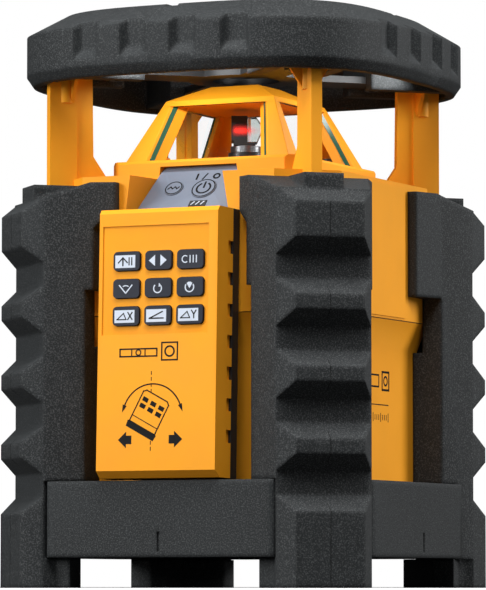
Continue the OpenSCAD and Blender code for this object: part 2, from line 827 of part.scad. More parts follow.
module level_motor(z) {
    difference() {
        union() {
            translate([38, 0, z]) rotate([0, 90, 0]) cylinder(r = 7, h = 16);
            box([52, -9, z - 9], [56.3, 9, z + 9]);
        }
        translate([37, 0, z]) rotate([0, 90, 0]) cylinder(r = 2 + run, h = 13);
    }
}

module level_motors() {
    color(steel) {
        level_motor(push_x_z);
        rotate([0, 0, -90]) level_motor(push_y_z);
    }
}

module level_screw_x() { lead_screw(push_x_z); }
module level_screw_y() { rotate([0, 0, -90]) lead_screw(push_y_z); }
module level_nut_x() { push_nut(push_x_z); }
module level_nut_y() { rotate([0, 0, -90]) push_nut(push_y_z); }

module main_board() {
    color(board_green) {
        box([-52, -38, 40], [-50.4, 38, 104]);
        box([-50.4, -20, 60], [-47, 0, 80]);
        box([-50.4, 8, 70], [-46, 24, 82]);
    }
}

// ---- battery compartment ----

module battery_box() {
    color(black) difference() {
        box([-35.7, 19.7, 42], [35.7, 56.3, 108]);
        box([-34.2, 21.2, 43.6], [34.2, 58, 106.4]);
    }
}

module battery_cells() {
    color(brass) for (s = [-1, 1]) translate([17 * s, cell_y, cell_z]) {
        cylinder(r = cell_r, h = cell_len - 1.5);
        cylinder(r = 4.5, h = cell_len);
    }
}

module battery_door_pin() {
    color(steel) translate([-35.5, hinge_y, hinge_z]) rotate([0, 90, 0])
        cylinder(r = 1, h = 71);
}

module battery_door() {
    color(yellow) difference() {
        union() {
            box([-door_half, 61.2, 51.6], [door_half, up_half, 105.8]);
            for (s = [-1, 1]) translate([25.5 * s, 0, 0]) {
                translate([-5.5, hinge_y, hinge_z]) rotate([0, 90, 0]) cylinder(r = 2.1, h = 11);
                box([-5.5, 61.2, hinge_z], [5.5, up_half, 52]);
            }
        }
        translate([-50, hinge_y, hinge_z]) rotate([0, 90, 0]) cylinder(r = 1 + run, h = 100);
        translate([0, 70, latch_z]) rotate([90, 0, 0]) cylinder(r = 2 + run, h = 20);
    }
}

module battery_latch() {
    color(black) {
        difference() {
            translate([0, 65.9, latch_z]) rotate([90, 0, 0]) cylinder(r = 5, h = 1.8);
            box([-4.2, 65.1, latch_z - 0.8], [4.2, 67, latch_z + 0.8]);
        }
        translate([0, 64.2, latch_z]) rotate([90, 0, 0]) cylinder(r = 2, h = 4.9);
        box([-2, 59.4, latch_z - 2], [9.5, 60.9, latch_z + 2]);
    }
}

// ---- remote control ----

module key_places() {
    for (i = [0:8]) translate([key_x + (i % 3 - 1) * key_pitch_x, 0,
        key_z + (1 - floor(i / 3)) * key_pitch_z]) children();
}

// A block with rounded corners, w wide and h high, from one depth to another
module pill(w, h, r, from, to) {
    rotate([90, 0, 0]) translate([0, 0, -to]) {
        for (x = [-1, 1], z = [-1, 1]) translate([x * (w / 2 - r), z * (h / 2 - r), 0])
            cylinder(r = r, h = to - from, $fn = 32);
        translate([-w / 2, r - h / 2, 0]) cube([w, h - 2 * r, to - from]);
        translate([r - w / 2, -h / 2, 0]) cube([w - 2 * r, h, to - from]);
    }
}

module remote_front_shell() {
    h = remote_half;
    back = remote_front_t;
    color(yellow) in_remote() difference() {
        prism(0, remote_h, [[-h, 0], [h, 0], [h + 1, back], [-h - 1, back]]);
        // slopes at the lower and the upper front edge
        rotate([90, 0, 90]) translate([0, 0, -40]) linear_extrude(80)
            polygon([[-1, -1], [4, -1], [4, 0], [0, 2.8], [-1, 2.8]]);
        rotate([90, 0, 90]) translate([0, 0, -40]) linear_extrude(80)
            polygon([[-1, remote_h - 1.8], [0, remote_h - 1.8], [1.4, remote_h],
                [1.4, remote_h + 1], [-1, remote_h + 1]]);
        box([-h + 2, 2, 2], [h - 2, back + 1, remote_h - 2]);
        box([-25, -1, 57.5], [22.6, 0.5, 101.5]);
        key_places() pill(key_w + 0.4, key_h + 0.4, key_round + 0.2, -1, 3);
        for (s = [-1, 1], i = [0:grip_count - 1])
            translate([s * (h + 1), 0, grip_low + i * grip_pitch])
                box([-1.1, back - 3.6, 0], [1.1, back + 1, 5.2]);
    }
}

module remote_rear_shell() {
    h = remote_half;
    color(black) in_remote() difference() {
        prism(0, remote_h, [[-h - 1, remote_front_t + 0.1], [h + 1, remote_front_t + 0.1],
            [h + 1.4, remote_t], [-h - 1.4, remote_t]]);
        box([-h + 1.5, 10, 2], [h - 1.5, remote_t - 1.8, remote_h - 2]);
        box([-14.2, 10, 3.8], [14.2, remote_t + 1, 56.2]);
    }
}

module remote_battery_door() {
    color(black) in_remote() box([-14, remote_t - 1.7, 4], [14, remote_t, 56]);
}

module remote_board() {
    color(board_green) in_remote() box([-23, 6.6, 57], [23, 8.2, 105]);
}

module remote_cells() {
    color(brass) in_remote() for (s = [-1, 1]) translate([6.5 * s, 9.2, 6]) {
        cylinder(r = 5.2, h = 43.5);
        cylinder(r = 1.8, h = 44.5);
    }
}

module remote_key(i) {
    w = key_w / 2 + 0.7;
    h = key_h / 2 + 0.7;
    color(keys_blue) in_remote() translate([key_x + (i % 3 - 1) * key_pitch_x, 0,
        key_z + (1 - floor(i / 3)) * key_pitch_z]) {
        pill(key_w, key_h, key_round, -0.6, 2.4);
        box([-w, 2.3, -h], [w, 3.3, h]);
        box([-2, 3.2, -1.5], [2, 5.8, 1.5]);
    }
}

base_bumper();
corner_bumper_front_left();
corner_bumper_front_right();
corner_bumper_rear_left();
corner_bumper_rear_right();
top_bumper();
top_carrier_plate();
top_screws();
lower_housing();
upper_housing();
housing_gasket();
case_screws();
base_plate();
tripod_insert();
control_panel();
tilt_lamp();
head_cage();
head_windows();
head_screws();
gimbal_frame();
main_board();
battery_box();
battery_cells();
battery_door_pin();
level_motors();
gimbal_ring();
laser_cradle();
rotor_bearings();
laser_tube();
laser_module();
collimator_lens();
drive_motor();
drive_belt();
rotor_spindle();
rotor_pulley();
prism_holder();
pentaprism();
motor_pulley();
level_screw_x();
level_screw_y();
level_nut_x();
level_nut_y();
battery_door();
battery_latch();
power_button();
manual_button();
remote_front_shell();
remote_rear_shell();
remote_board();
remote_cells();
remote_battery_door();
for (i = [0:8]) remote_key(i);
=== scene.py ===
import json
import math

import bmesh
import bpy
from mathutils import Matrix, Vector


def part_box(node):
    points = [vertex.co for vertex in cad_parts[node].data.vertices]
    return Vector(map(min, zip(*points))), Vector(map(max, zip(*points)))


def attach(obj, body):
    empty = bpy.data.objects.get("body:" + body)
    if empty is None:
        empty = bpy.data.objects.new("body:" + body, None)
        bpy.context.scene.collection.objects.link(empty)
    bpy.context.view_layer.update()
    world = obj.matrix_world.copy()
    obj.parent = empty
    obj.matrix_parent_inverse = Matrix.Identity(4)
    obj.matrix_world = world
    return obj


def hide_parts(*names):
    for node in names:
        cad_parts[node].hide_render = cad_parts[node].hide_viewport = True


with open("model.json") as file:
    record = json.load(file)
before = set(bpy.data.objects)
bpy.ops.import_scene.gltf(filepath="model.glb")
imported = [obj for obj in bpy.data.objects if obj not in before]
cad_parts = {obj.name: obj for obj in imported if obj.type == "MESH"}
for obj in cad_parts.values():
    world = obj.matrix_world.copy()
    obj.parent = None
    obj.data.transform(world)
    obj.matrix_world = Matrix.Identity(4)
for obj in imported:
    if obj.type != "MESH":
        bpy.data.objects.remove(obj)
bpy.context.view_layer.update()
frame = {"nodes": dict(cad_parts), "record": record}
NODES = frame["nodes"]
RECORD = frame["record"]
MM = 0.001


# ---- node materials ----

def node(tree, kind, inputs=None, **settings):
    """A shader node whose inputs are set to values or linked to sockets."""
    made = tree.nodes.new(kind)
    for key, value in settings.items():
        setattr(made, key, value)
    for key, value in (inputs or {}).items():
        if isinstance(value, bpy.types.NodeSocket):
            tree.links.new(value, made.inputs[key])
        else:
            made.inputs[key].default_value = value
    return made


def ramp(tree, fac, stops):
    """Turns a factor into a colour, by stops of place and colour."""
    made = node(tree, "ShaderNodeValToRGB", {0: fac})
    points = made.color_ramp.elements
    while len(points) < len(stops):
        points.new(0.5)
    for point, (at, colour) in zip(points, stops):
        point.position = at
        point.color = (*colour, 1) if len(colour) == 3 else colour
    return made.outputs[0]


def mix(tree, fac, a, b, kind="MIX"):
    """Mixes two colours, each a value or a socket, by a factor."""
    made = node(tree, "ShaderNodeMix", data_type="RGBA", blend_type=kind)
    for socket, value in zip((made.inputs[0], made.inputs[6], made.inputs[7]), (fac, a, b)):
        if isinstance(value, bpy.types.NodeSocket):
            tree.links.new(value, socket)
        elif isinstance(value, tuple):
            socket.default_value = (*value[:3], 1)
        else:
            socket.default_value = value
    return made.outputs[2]


def grey(value):
    return (value, value, value)


def scaled(colour, factor, lift=0.0):
    """A colour made brighter or darker, held at 1."""
    return tuple(min(1, c * factor + lift) for c in colour)


def new_material(name):
    """A material with its node tree, its shader and the object's own coordinates."""
    made = bpy.data.materials.new(name)
    made.use_nodes = True
    tree = made.node_tree
    shader = tree.nodes["Principled BSDF"]
    place = node(tree, "ShaderNodeTexCoord").outputs["Object"]
    return made, tree, shader, place


def noise(tree, place, grain_mm, detail=2.0):
    """Noise with grains of about the given size."""
    inputs = {"Vector": place, "Scale": 1 / (grain_mm * MM), "Detail": detail}
    return node(tree, "ShaderNodeTexNoise", inputs).outputs["Fac"]


def drawn_out(tree, place):
    """Fine noise in thin layers along Z, as turning leaves on metal."""
    layers = node(tree, "ShaderNodeMapping", {"Vector": place, "Scale": (1, 1, 12)}).outputs[0]
    return noise(tree, layers, 1.2, 4.0)


def see_through(tree, fac, below, above):
    """Puts a mix of two shaders on the material's output."""
    both = node(tree, "ShaderNodeMixShader", {0: fac, 1: below.outputs[0], 2: above.outputs[0]})
    tree.links.new(both.outputs[0], tree.nodes["Material Output"].inputs["Surface"])


def clear_shader(tree):
    return node(tree, "ShaderNodeBsdfTransparent", {"Color": (1, 1, 1, 1)})


FOAM_SHADE_MM = 2.6
FOAM_BEAD_MM = 2.6


def foam_material(name, colour, speck):
    """Beaded foam: a dark skin with fine pale specks, painted highlights along its sharp edges, and a shallow
    pit in the middle of each bead.
    """
    made, tree, shader, place = new_material(name)
    beads = node(tree, "ShaderNodeTexVoronoi", {"Vector": place, "Scale": 1 / (FOAM_BEAD_MM * MM)})
    fine = noise(tree, place, 0.55, 2.0)
    broad = noise(tree, place, 30, 3.0)
    specks = ramp(tree, fine, [(0.48, grey(0)), (0.72, grey(1))])
    tone = ramp(tree, broad, [(0.3, scaled(colour, 0.86)), (0.7, scaled(colour, 1.12))])
    dotted = mix(tree, specks, tone, speck)
    # Painted highlight: sharp convex edges are mixed towards a much brighter foam colour, where light would
    # catch the rounded edges.
    edge = node(tree, "ShaderNodeNewGeometry").outputs["Pointiness"]
    painted_edge_highlight = ramp(tree, edge, [(0.50, grey(0)), (0.58, grey(0.25))])
    tree.links.new(mix(tree, painted_edge_highlight, dotted, scaled(colour, 2.2)), shader.inputs["Base Color"])
    tree.links.new(ramp(tree, fine, [(0.3, grey(0.62)), (0.7, grey(0.78))]), shader.inputs["Roughness"])
    shader.inputs["Specular IOR Level"].default_value = 0.25
    soft = node(tree, "ShaderNodeBevel", {"Radius": FOAM_SHADE_MM * MM}, samples=6)
    pits = node(tree, "ShaderNodeBump", {"Height": beads.outputs["Distance"], "Strength": 0.12,
                                         "Distance": 0.2 * MM, "Normal": soft.outputs[0]})
    grain = node(tree, "ShaderNodeBump", {"Height": fine, "Strength": 0.5, "Distance": 0.12 * MM,
                                          "Normal": pits.outputs[0]})
    tree.links.new(grain.outputs[0], shader.inputs["Normal"])
    return made


def plastic_material(name, colour, rough, grain_mm=0.35, grain=0.3, gloss=0.35):
    """Moulded plastic: fine spark-eroded grain, slight tone changes, sharp edges painted a little brighter as
    a highlight.
    """
    made, tree, shader, place = new_material(name)
    fine = noise(tree, place, grain_mm, 2.0)
    broad = noise(tree, place, 22, 4.0)
    tone = ramp(tree, broad, [(0.25, scaled(colour, 0.93)), (0.75, scaled(colour, 1.05))])
    # Painted highlight: sharp convex edges are mixed towards a lighter copy of the colour.
    edge = node(tree, "ShaderNodeNewGeometry").outputs["Pointiness"]
    painted_edge_highlight = ramp(tree, edge, [(0.51, grey(0)), (0.60, grey(0.35))])
    tree.links.new(mix(tree, painted_edge_highlight, tone, scaled(colour, 1.25, 0.02)), shader.inputs["Base Color"])
    matt = ramp(tree, broad, [(0.3, grey(rough * 0.9)), (0.7, grey(rough * 1.12))])
    tree.links.new(matt, shader.inputs["Roughness"])
    bump = node(tree, "ShaderNodeBump", {"Height": fine, "Strength": grain, "Distance": 0.05 * MM})
    tree.links.new(bump.outputs[0], shader.inputs["Normal"])
    shader.inputs["Specular IOR Level"].default_value = gloss
    return made


def metal_material(name, colour, rough):
    """Turned or brushed metal: fine streaks in its tone and gloss."""
    made, tree, shader, place = new_material(name)
    streaks = drawn_out(tree, place)
    tone = ramp(tree, streaks, [(0.3, scaled(colour, 0.8)), (0.7, colour)])
    tree.links.new(tone, shader.inputs["Base Color"])
    matt = ramp(tree, streaks, [(0.3, grey(rough * 1.3)), (0.7, grey(rough * 0.8))])
    tree.links.new(matt, shader.inputs["Roughness"])
    shader.inputs["Metallic"].default_value = 1
    bump = node(tree, "ShaderNodeBump", {"Height": streaks, "Strength": 0.15, "Distance": 0.03 * MM})
    tree.links.new(bump.outputs[0], shader.inputs["Normal"])
    return made


def glass_material(name, tint, ior):
    """Optical glass: tinted, with faint smears in its gloss."""
    made, tree, shader, place = new_material(name)
    smears = noise(tree, place, 9, 3.0)
    tree.links.new(ramp(tree, smears, [(0.3, grey(0.0)), (0.8, grey(0.04))]), shader.inputs["Roughness"])
    shader.inputs["Base Color"].default_value = (*tint, 1)
    shader.inputs["Transmission Weight"].default_value = 1
    shader.inputs["IOR"].default_value = ior
    return made


def pane_material(name, edge_tint):
    """Window pane: almost clear through its faces, deep green along its cut edges."""
    made, tree, shader, place = new_material(name)
    smears = noise(tree, place, 14, 4.0)
    gloss = node(tree, "ShaderNodeBsdfGlossy", {"Color": (1, 1, 1, 1)})
    tree.links.new(ramp(tree, smears, [(0.3, grey(0.03)), (0.8, grey(0.10))]), gloss.inputs["Roughness"])
    grazing = node(tree, "ShaderNodeFresnel", {"IOR": 1.3}).outputs[0]
    mirror = ramp(tree, grazing, [(0.04, grey(0.0)), (1.0, grey(0.08))])
    clear = clear_shader(tree)
    face = node(tree, "ShaderNodeMixShader", {0: mirror, 1: clear.outputs[0], 2: gloss.outputs[0]})
    tint = ramp(tree, smears, [(0.3, scaled(edge_tint, 0.8)), (0.8, edge_tint)])
    tree.links.new(tint, shader.inputs["Base Color"])
    shader.inputs["Roughness"].default_value = 0.2
    edge = node(tree, "ShaderNodeAttribute", attribute_name="cut_edge").outputs["Fac"]
    see_through(tree, edge, face, shader)
    return made


def glow_material(name, colour):
    """A glow that the mesh's glow attribute fades out to clear."""
    made, tree, shader, place = new_material(name)
    flicker = ramp(tree, noise(tree, place, 0.8, 2.0), [(0.3, grey(0.7)), (0.7, grey(1.0))])
    tree.links.new(mix(tree, 1.0, flicker, colour, "MULTIPLY"), shader.inputs["Emission Color"])
    shader.inputs["Emission Strength"].default_value = 1
    shader.inputs["Base Color"].default_value = (*colour, 1)
    glow = node(tree, "ShaderNodeAttribute", attribute_name="glow").outputs["Fac"]
    see_through(tree, glow, clear_shader(tree), shader)
    return made


def spindle_material(name, disc_top):
    """Dark turned steel above the given height, black coated below it."""
    made, tree, shader, place = new_material(name)
    height = node(tree, "ShaderNodeSeparateXYZ", {"Vector": place}).outputs["Z"]
    bare = node(tree, "ShaderNodeMath", {0: height, 1: disc_top}, operation="GREATER_THAN").outputs[0]
    rings = drawn_out(tree, place)
    metal = ramp(tree, rings, [(0.3, (0.13, 0.135, 0.14)), (0.7, (0.22, 0.23, 0.24))])
    tree.links.new(mix(tree, bare, (0.008, 0.008, 0.009), metal), shader.inputs["Base Color"])
    tree.links.new(bare, shader.inputs["Metallic"])
    tree.links.new(ramp(tree, rings, [(0.3, grey(0.42)), (0.7, grey(0.3))]), shader.inputs["Roughness"])
    return made


SPINDLE_DISC_TOP_MM = 181.95
MATERIALS = {
    "bumper_foam": foam_material("bumper_foam", (0.0135, 0.0155, 0.0165), (0.076, 0.080, 0.082)),
    "yellow_shell": plastic_material("yellow_shell", (0.86, 0.325, 0.010), 0.55, gloss=0.16),
    "black_plastic": plastic_material("black_plastic", (0.010, 0.011, 0.012), 0.45),
    "gasket_rubber": plastic_material("gasket_rubber", (0.10, 0.045, 0.01), 0.8, 0.5, 0.5),
    "steel": metal_material("steel", (0.62, 0.63, 0.65), 0.28),
    "black_steel": metal_material("black_steel", (0.05, 0.05, 0.055), 0.4),
    "brass": metal_material("brass", (0.78, 0.57, 0.25), 0.3),
    "aluminium": metal_material("aluminium", (0.77, 0.78, 0.80), 0.35),
    "panel_silver": plastic_material("panel_silver", (0.165, 0.195, 0.255), 0.5, 0.25),
    "window_glass": pane_material("window_glass", (0.03, 0.12, 0.075)),
    "prism_glass": glass_material("prism_glass", (0.55, 0.60, 0.58), 1.5),
    "circuit_board": plastic_material("circuit_board", (0.02, 0.15, 0.06), 0.3),
    "battery_jacket": plastic_material("battery_jacket", (0.07, 0.08, 0.09), 0.25),
    "key_plastic": plastic_material("key_plastic", (0.006, 0.009, 0.020), 0.45, gloss=0.2),
    "ink_dark": plastic_material("ink_dark", (0.004, 0.004, 0.004), 0.7, 0.3, 0.2, gloss=0.1),
    "ink_light": plastic_material("ink_light", (0.52, 0.57, 0.66), 0.5, 0.3),
    "laser_red": glow_material("laser_red", (1.0, 0.03, 0.02)),
    "spindle_steel": spindle_material("spindle_steel", SPINDLE_DISC_TOP_MM * MM),
}


# ---- CAD nodes that keep their own shape ----

SLOT_OF = {s["node"]: s["material_slot"] for s in RECORD["subparts"]}
BODY_OF = {n: body for body, nodes in RECORD["behaviour"]["bodies"].items() for n in nodes}
WELD_MM = 0.005
FLAT_ANGLE = math.radians(1)
EDGE_MM = {"bumper_foam": 1.3, "yellow_shell": 0.5}
OTHER_EDGE_MM = 0.25
CAGE_EDGE_MM = 1.1
EDGE_ANGLE = math.radians(32)
CAGE_EDGE_ANGLE = math.radians(18)


def round_edges(obj, width_mm, segments, angle):
    """Joins the CAD triangles into flat faces and rounds the sharp edges between them."""
    weld = obj.modifiers.new("weld", "WELD")
    weld.merge_threshold = WELD_MM * MM
    flat = obj.modifiers.new("flat", "DECIMATE")
    flat.decimate_type = "DISSOLVE"
    flat.angle_limit = FLAT_ANGLE
    bevel = obj.modifiers.new("bevel", "BEVEL")
    bevel.width = width_mm * MM
    bevel.segments = segments
    bevel.limit_method = "ANGLE"
    bevel.angle_limit = angle
    weighted = obj.modifiers.new("weighted", "WEIGHTED_NORMAL")
    weighted.weight = 80


def dress_cad_node(name, obj):
    """Gives a CAD node its material and its rounded edges."""
    slot = SLOT_OF[name]
    obj.data.materials.clear()
    obj.data.materials.append(MATERIALS[slot])
    for face in obj.data.polygons:
        face.use_smooth = True
    if name == "head_cage":
        round_edges(obj, CAGE_EDGE_MM, 2, CAGE_EDGE_ANGLE)
    else:
        round_edges(obj, EDGE_MM.get(slot, OTHER_EDGE_MM), 3 if slot == "bumper_foam" else 2, EDGE_ANGLE)


for node_name, node_object in NODES.items():
    dress_cad_node(node_name, node_object)


# ---- mesh helpers for the finer pieces ----

def add_piece(name, bm, body, material, smooth=False):
    """Makes an object of a bmesh, with its material and the body that it moves with."""
    mesh = bpy.data.meshes.new(name)
    bmesh.ops.recalc_face_normals(bm, faces=bm.faces)
    bm.to_mesh(mesh)
    bm.free()
    for face in mesh.polygons:
        face.use_smooth = smooth
    if smooth:
        mesh.set_sharp_from_angle(angle=math.radians(28))
    obj = bpy.data.objects.new(name, mesh)
    bpy.context.scene.collection.objects.link(obj)
    obj.data.materials.append(MATERIALS[material])
    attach(obj, body)
    return obj


def copy_of_node(name):
    """A bmesh of a CAD node with its triangles joined into flat faces."""
    bm = bmesh.new()
    bm.from_mesh(NODES[name].data)
    bmesh.ops.remove_doubles(bm, verts=bm.verts, dist=WELD_MM * MM)
    bmesh.ops.dissolve_limit(bm, angle_limit=FLAT_ANGLE, verts=bm.verts, edges=bm.edges)
    return bm


def add_block(bm, corners):
    """A closed block from four corners of its bottom and the four above them."""
    v = [bm.verts.new(c) for c in corners]
    for f in ((3, 2, 1, 0), (4, 5, 6, 7), (0, 1, 5, 4), (1, 2, 6, 5), (2, 3, 7, 6), (3, 0, 4, 7)):
        bm.faces.new([v[i] for i in f])


# ---- foam bumpers with softer edges ----

FOAM_ROUND_MM = 1.8
SHOULDER_MM = 2.6
SHOULDER_LOW_MM = 153.5
SHOULDER_OUT_MM = 67.9
UPRIGHT = 0.1
SHARP_ANGLE = math.radians(20)
GROOVED_CORNERS = 20
GROOVED_EDGE_MM = 100
GROOVE_CLEAR_MM = 0.2
EDGE_END_MM = 1
ON_EDGE_MM = 0.1


def is_long_convex(edge, shortest_mm):
    """Whether an edge is long, convex and sharp enough to be rounded off."""
    return (len(edge.link_faces) == 2 and edge.is_convex and edge.calc_length() > shortest_mm * MM
            and edge.calc_face_angle() > SHARP_ANGLE)


def is_shoulder_edge(edge):
    """Whether an edge runs along the top of an outer face of a corner bumper."""
    if not is_long_convex(edge, 4) or min(v.co.z for v in edge.verts) < SHOULDER_LOW_MM * MM:
        return False
    if min(max(abs(v.co.x), abs(v.co.y)) for v in edge.verts) < SHOULDER_OUT_MM * MM:
        return False
    normals = sorted((f.normal for f in edge.link_faces), key=lambda n: n.z)
    return abs(normals[0].z) < UPRIGHT and 0.5 < normals[1].z


def is_lying(edge):
    """Whether an edge runs more across than up."""
    along = edge.verts[1].co - edge.verts[0].co
    return abs(along.z) < 0.5 * along.length


def is_grooved(face, longest):
    """Whether an upright face is one of the outer ones that the grooves run into."""
    return (len(face.verts) >= GROOVED_CORNERS and abs(face.normal.z) <= UPRIGHT
            and longest.calc_length() >= GROOVED_EDGE_MM * MM)


def free_groove_ends(bm):
    """Keeps the grooves of an outer face just clear of that face's long straight edge."""
    for face in bm.faces:
        longest = max(face.edges, key=lambda e: e.calc_length())
        if not is_grooved(face, longest):
            continue
        start = longest.verts[0].co.copy()
        along = longest.verts[1].co - start
        reach = along.length
        along.normalize()
        inward = face.calc_center_median() - start
        inward = (inward - along * inward.dot(along)).normalized()
        for vert in face.verts:
            offset = vert.co - start
            height = offset.dot(along)
            between_ends = EDGE_END_MM * MM < height < reach - EDGE_END_MM * MM
            if between_ends and (offset - along * height).length < ON_EDGE_MM * MM:
                vert.co += inward * GROOVE_CLEAR_MM * MM


def soft_foam(name, shoulders):
    """Rebuilds a foam node with its long edges rounded as far as its small steps let them."""
    bm = copy_of_node(name)
    free_groove_ends(bm)
    if shoulders:
        edges = [e for e in bm.edges if is_shoulder_edge(e)]
        bmesh.ops.bevel(bm, geom=edges, offset=SHOULDER_MM * MM, segments=1, affect="EDGES",
                        clamp_overlap=True)
        bmesh.ops.dissolve_degenerate(bm, edges=bm.edges, dist=0.01 * MM)
    edges = [e for e in bm.edges if is_long_convex(e, 3) and (shoulders or is_lying(e))]
    bmesh.ops.bevel(bm, geom=edges, offset=FOAM_ROUND_MM * MM, segments=3, affect="EDGES",
                    clamp_overlap=True, profile=0.5)
    piece = add_piece(name + "_foam", bm, BODY_OF[name], "bumper_foam", smooth=True)
    weighted = piece.modifiers.new("weighted", "WEIGHTED_NORMAL")
    weighted.keep_sharp = True
    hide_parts(name)


CORNERS = ["corner_bumper_" + c for c in ("front_left", "front_right", "rear_left", "rear_right")]
for corner in CORNERS:
    soft_foam(corner, shoulders=True)
soft_foam("base_bumper", shoulders=False)


# ---- parting seams in the foam corners ----

SEAM_HALF_MM = 0.13
SEAM_LIFT_MM = 0.05
SEAM_LOW_MM = 15
SEAM_HIGH_MM = 155
SEAM_OUT_MM = 55


def seam_line(corner, normal):
    """A thin dark line where a plane through the middle cuts the outer skin of a corner bumper."""
    bm = copy_of_node(corner)
    cut = bmesh.ops.bisect_plane(bm, geom=bm.verts[:] + bm.edges[:] + bm.faces[:], plane_co=(0, 0, 0),
                                 plane_no=normal)["geom_cut"]
    lines = [[v.co.copy() for v in e.verts] for e in cut if isinstance(e, bmesh.types.BMEdge)]
    bm.free()
    strip = bmesh.new()
    half = SEAM_HALF_MM * MM
    for a, b in lines:
        middle = (a + b) / 2
        inside = max(abs(middle.x), abs(middle.y)) < SEAM_OUT_MM * MM
        if inside or not SEAM_LOW_MM * MM < middle.z < SEAM_HIGH_MM * MM:
            continue
        out = (b - a).normalized().cross(normal).normalized()
        if out.dot(Vector((middle.x, middle.y, 0))) < 0:
            out = -out
        side = normal * half
        add_block(strip, [p + out * lift + s for lift in (-half, SEAM_LIFT_MM * MM) for p, s in
                          ((a, -side), (b, -side), (b, side), (a, side))])
    add_piece(corner + "_seam", strip, BODY_OF[corner], "ink_dark")


for corner in CORNERS:
    low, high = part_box(corner)
    middle = (low + high) / 2
    seam_line(corner, Vector((math.copysign(1, middle.x), -math.copysign(1, middle.y), 0)).normalized())


# ---- window panes with green cut edges ----

SMALLEST_PANE_MM2 = 300


def window_panes():
    """Rebuilds the panes with every small face marked as a cut edge."""
    bm = copy_of_node("head_windows")
    edge = bm.faces.layers.float.new("cut_edge")
    for face in bm.faces:
        face[edge] = 0.0 if face.calc_area() > SMALLEST_PANE_MM2 * MM * MM else 1.0
    piece = add_piece("head_window_panes", bm, BODY_OF["head_windows"], "window_glass")
    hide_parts("head_windows")


window_panes()
NODES["pentaprism"].data.materials[0] = MATERIALS["prism_glass"]


# ---- rotor: bright prism edge and the laser's red glow ----

ROTOR_TURN = Matrix.Rotation(math.radians(26), 3, "Z")
EDGE_LIFT_MM = 0.05
GLOW_LIFT_MM = 0.06
GLOW_STEPS_X, GLOW_STEPS_Z = 26, 17
GLOW_STEP_X_MM, GLOW_STEP_Z_MM = 0.5, 0.35
GLOW_LEFT_MM, GLOW_LOW_MM = -6.0, 188.0
GLOW_FADE_MM = 1.5
GLOW_MIDDLE_X_MM, GLOW_MIDDLE_Z_MM = -2.2, 190.9
GLOW_SPREAD_X_MM, GLOW_SPREAD_Z_MM = 4.2, 1.35
GLOW_PEAK = 0.95
HOLDER_END_MM = 0.75


def cheek(name):
    """How far forward a rotor piece reaches, in the rotor's own turned axes."""
    return min((ROTOR_TURN.inverted() @ v.co).y for v in NODES[name].data.vertices)


def prism_bright_edge():
    """The pale upright edge on the side of the prism."""
    (left, low), (right, high) = (0.85, 186.3), (2.1, 196.2)
    front, lift = cheek("pentaprism"), EDGE_LIFT_MM * MM
    bm = bmesh.new()
    add_block(bm, [ROTOR_TURN @ Vector((x * MM, y, z * MM)) for y in (front - lift, front + lift)
                   for x, z in ((left, low), (right, low), (right, high), (left, high))])
    add_piece("prism_bright_edge", bm, "rotor", "ink_light")


def glow_at(x, z):
    """Strength of the laser's glow at a place on the rotor, given in millimetres."""
    right = GLOW_LEFT_MM + GLOW_STEPS_X * GLOW_STEP_X_MM
    fade = min(1, (x - GLOW_LEFT_MM) / GLOW_FADE_MM, (right - x) / GLOW_FADE_MM)
    across = (x - GLOW_MIDDLE_X_MM) / GLOW_SPREAD_X_MM
    up = (z - GLOW_MIDDLE_Z_MM) / GLOW_SPREAD_Z_MM
    return GLOW_PEAK * fade * math.exp(-across ** 2 - up ** 2)


def laser_glow():
    """The laser's red glow on the cheek of the holder and on the side of the prism."""
    holder, prism = cheek("prism_holder"), cheek("pentaprism")
    bm = bmesh.new()
    layer = bm.verts.layers.float.new("glow")
    rows = []
    for j in range(GLOW_STEPS_Z + 1):
        z = GLOW_LOW_MM + GLOW_STEP_Z_MM * j
        rows.append([])
        for i in range(GLOW_STEPS_X + 1):
            x = GLOW_LEFT_MM + GLOW_STEP_X_MM * i
            front = (holder if x < HOLDER_END_MM else prism) - GLOW_LIFT_MM * MM
            vert = bm.verts.new(ROTOR_TURN @ Vector((x * MM, front, z * MM)))
            vert[layer] = glow_at(x, z)
            rows[-1].append(vert)
    for low, high in zip(rows, rows[1:]):
        for i in range(GLOW_STEPS_X):
            bm.faces.new((low[i], low[i + 1], high[i + 1], high[i]))
    add_piece("laser_spot", bm, "rotor", "laser_red")


prism_bright_edge()
laser_glow()
NODES["rotor_spindle"].data.materials[0] = MATERIALS["spindle_steel"]
NODES["collimator_lens"].data.materials[0] = MATERIALS["prism_glass"]


# ---- printed signs ----

INK_MM = 0.06
INK_SUNK_MM = 0.02
SAME_FACE_MM = 0.02


def rectangle(x, y, w, h):
    """The four corners of a rectangle round x, y."""
    return [(x - w / 2, y - h / 2), (x + w / 2, y - h / 2), (x + w / 2, y + h / 2), (x - w / 2, y + h / 2)]


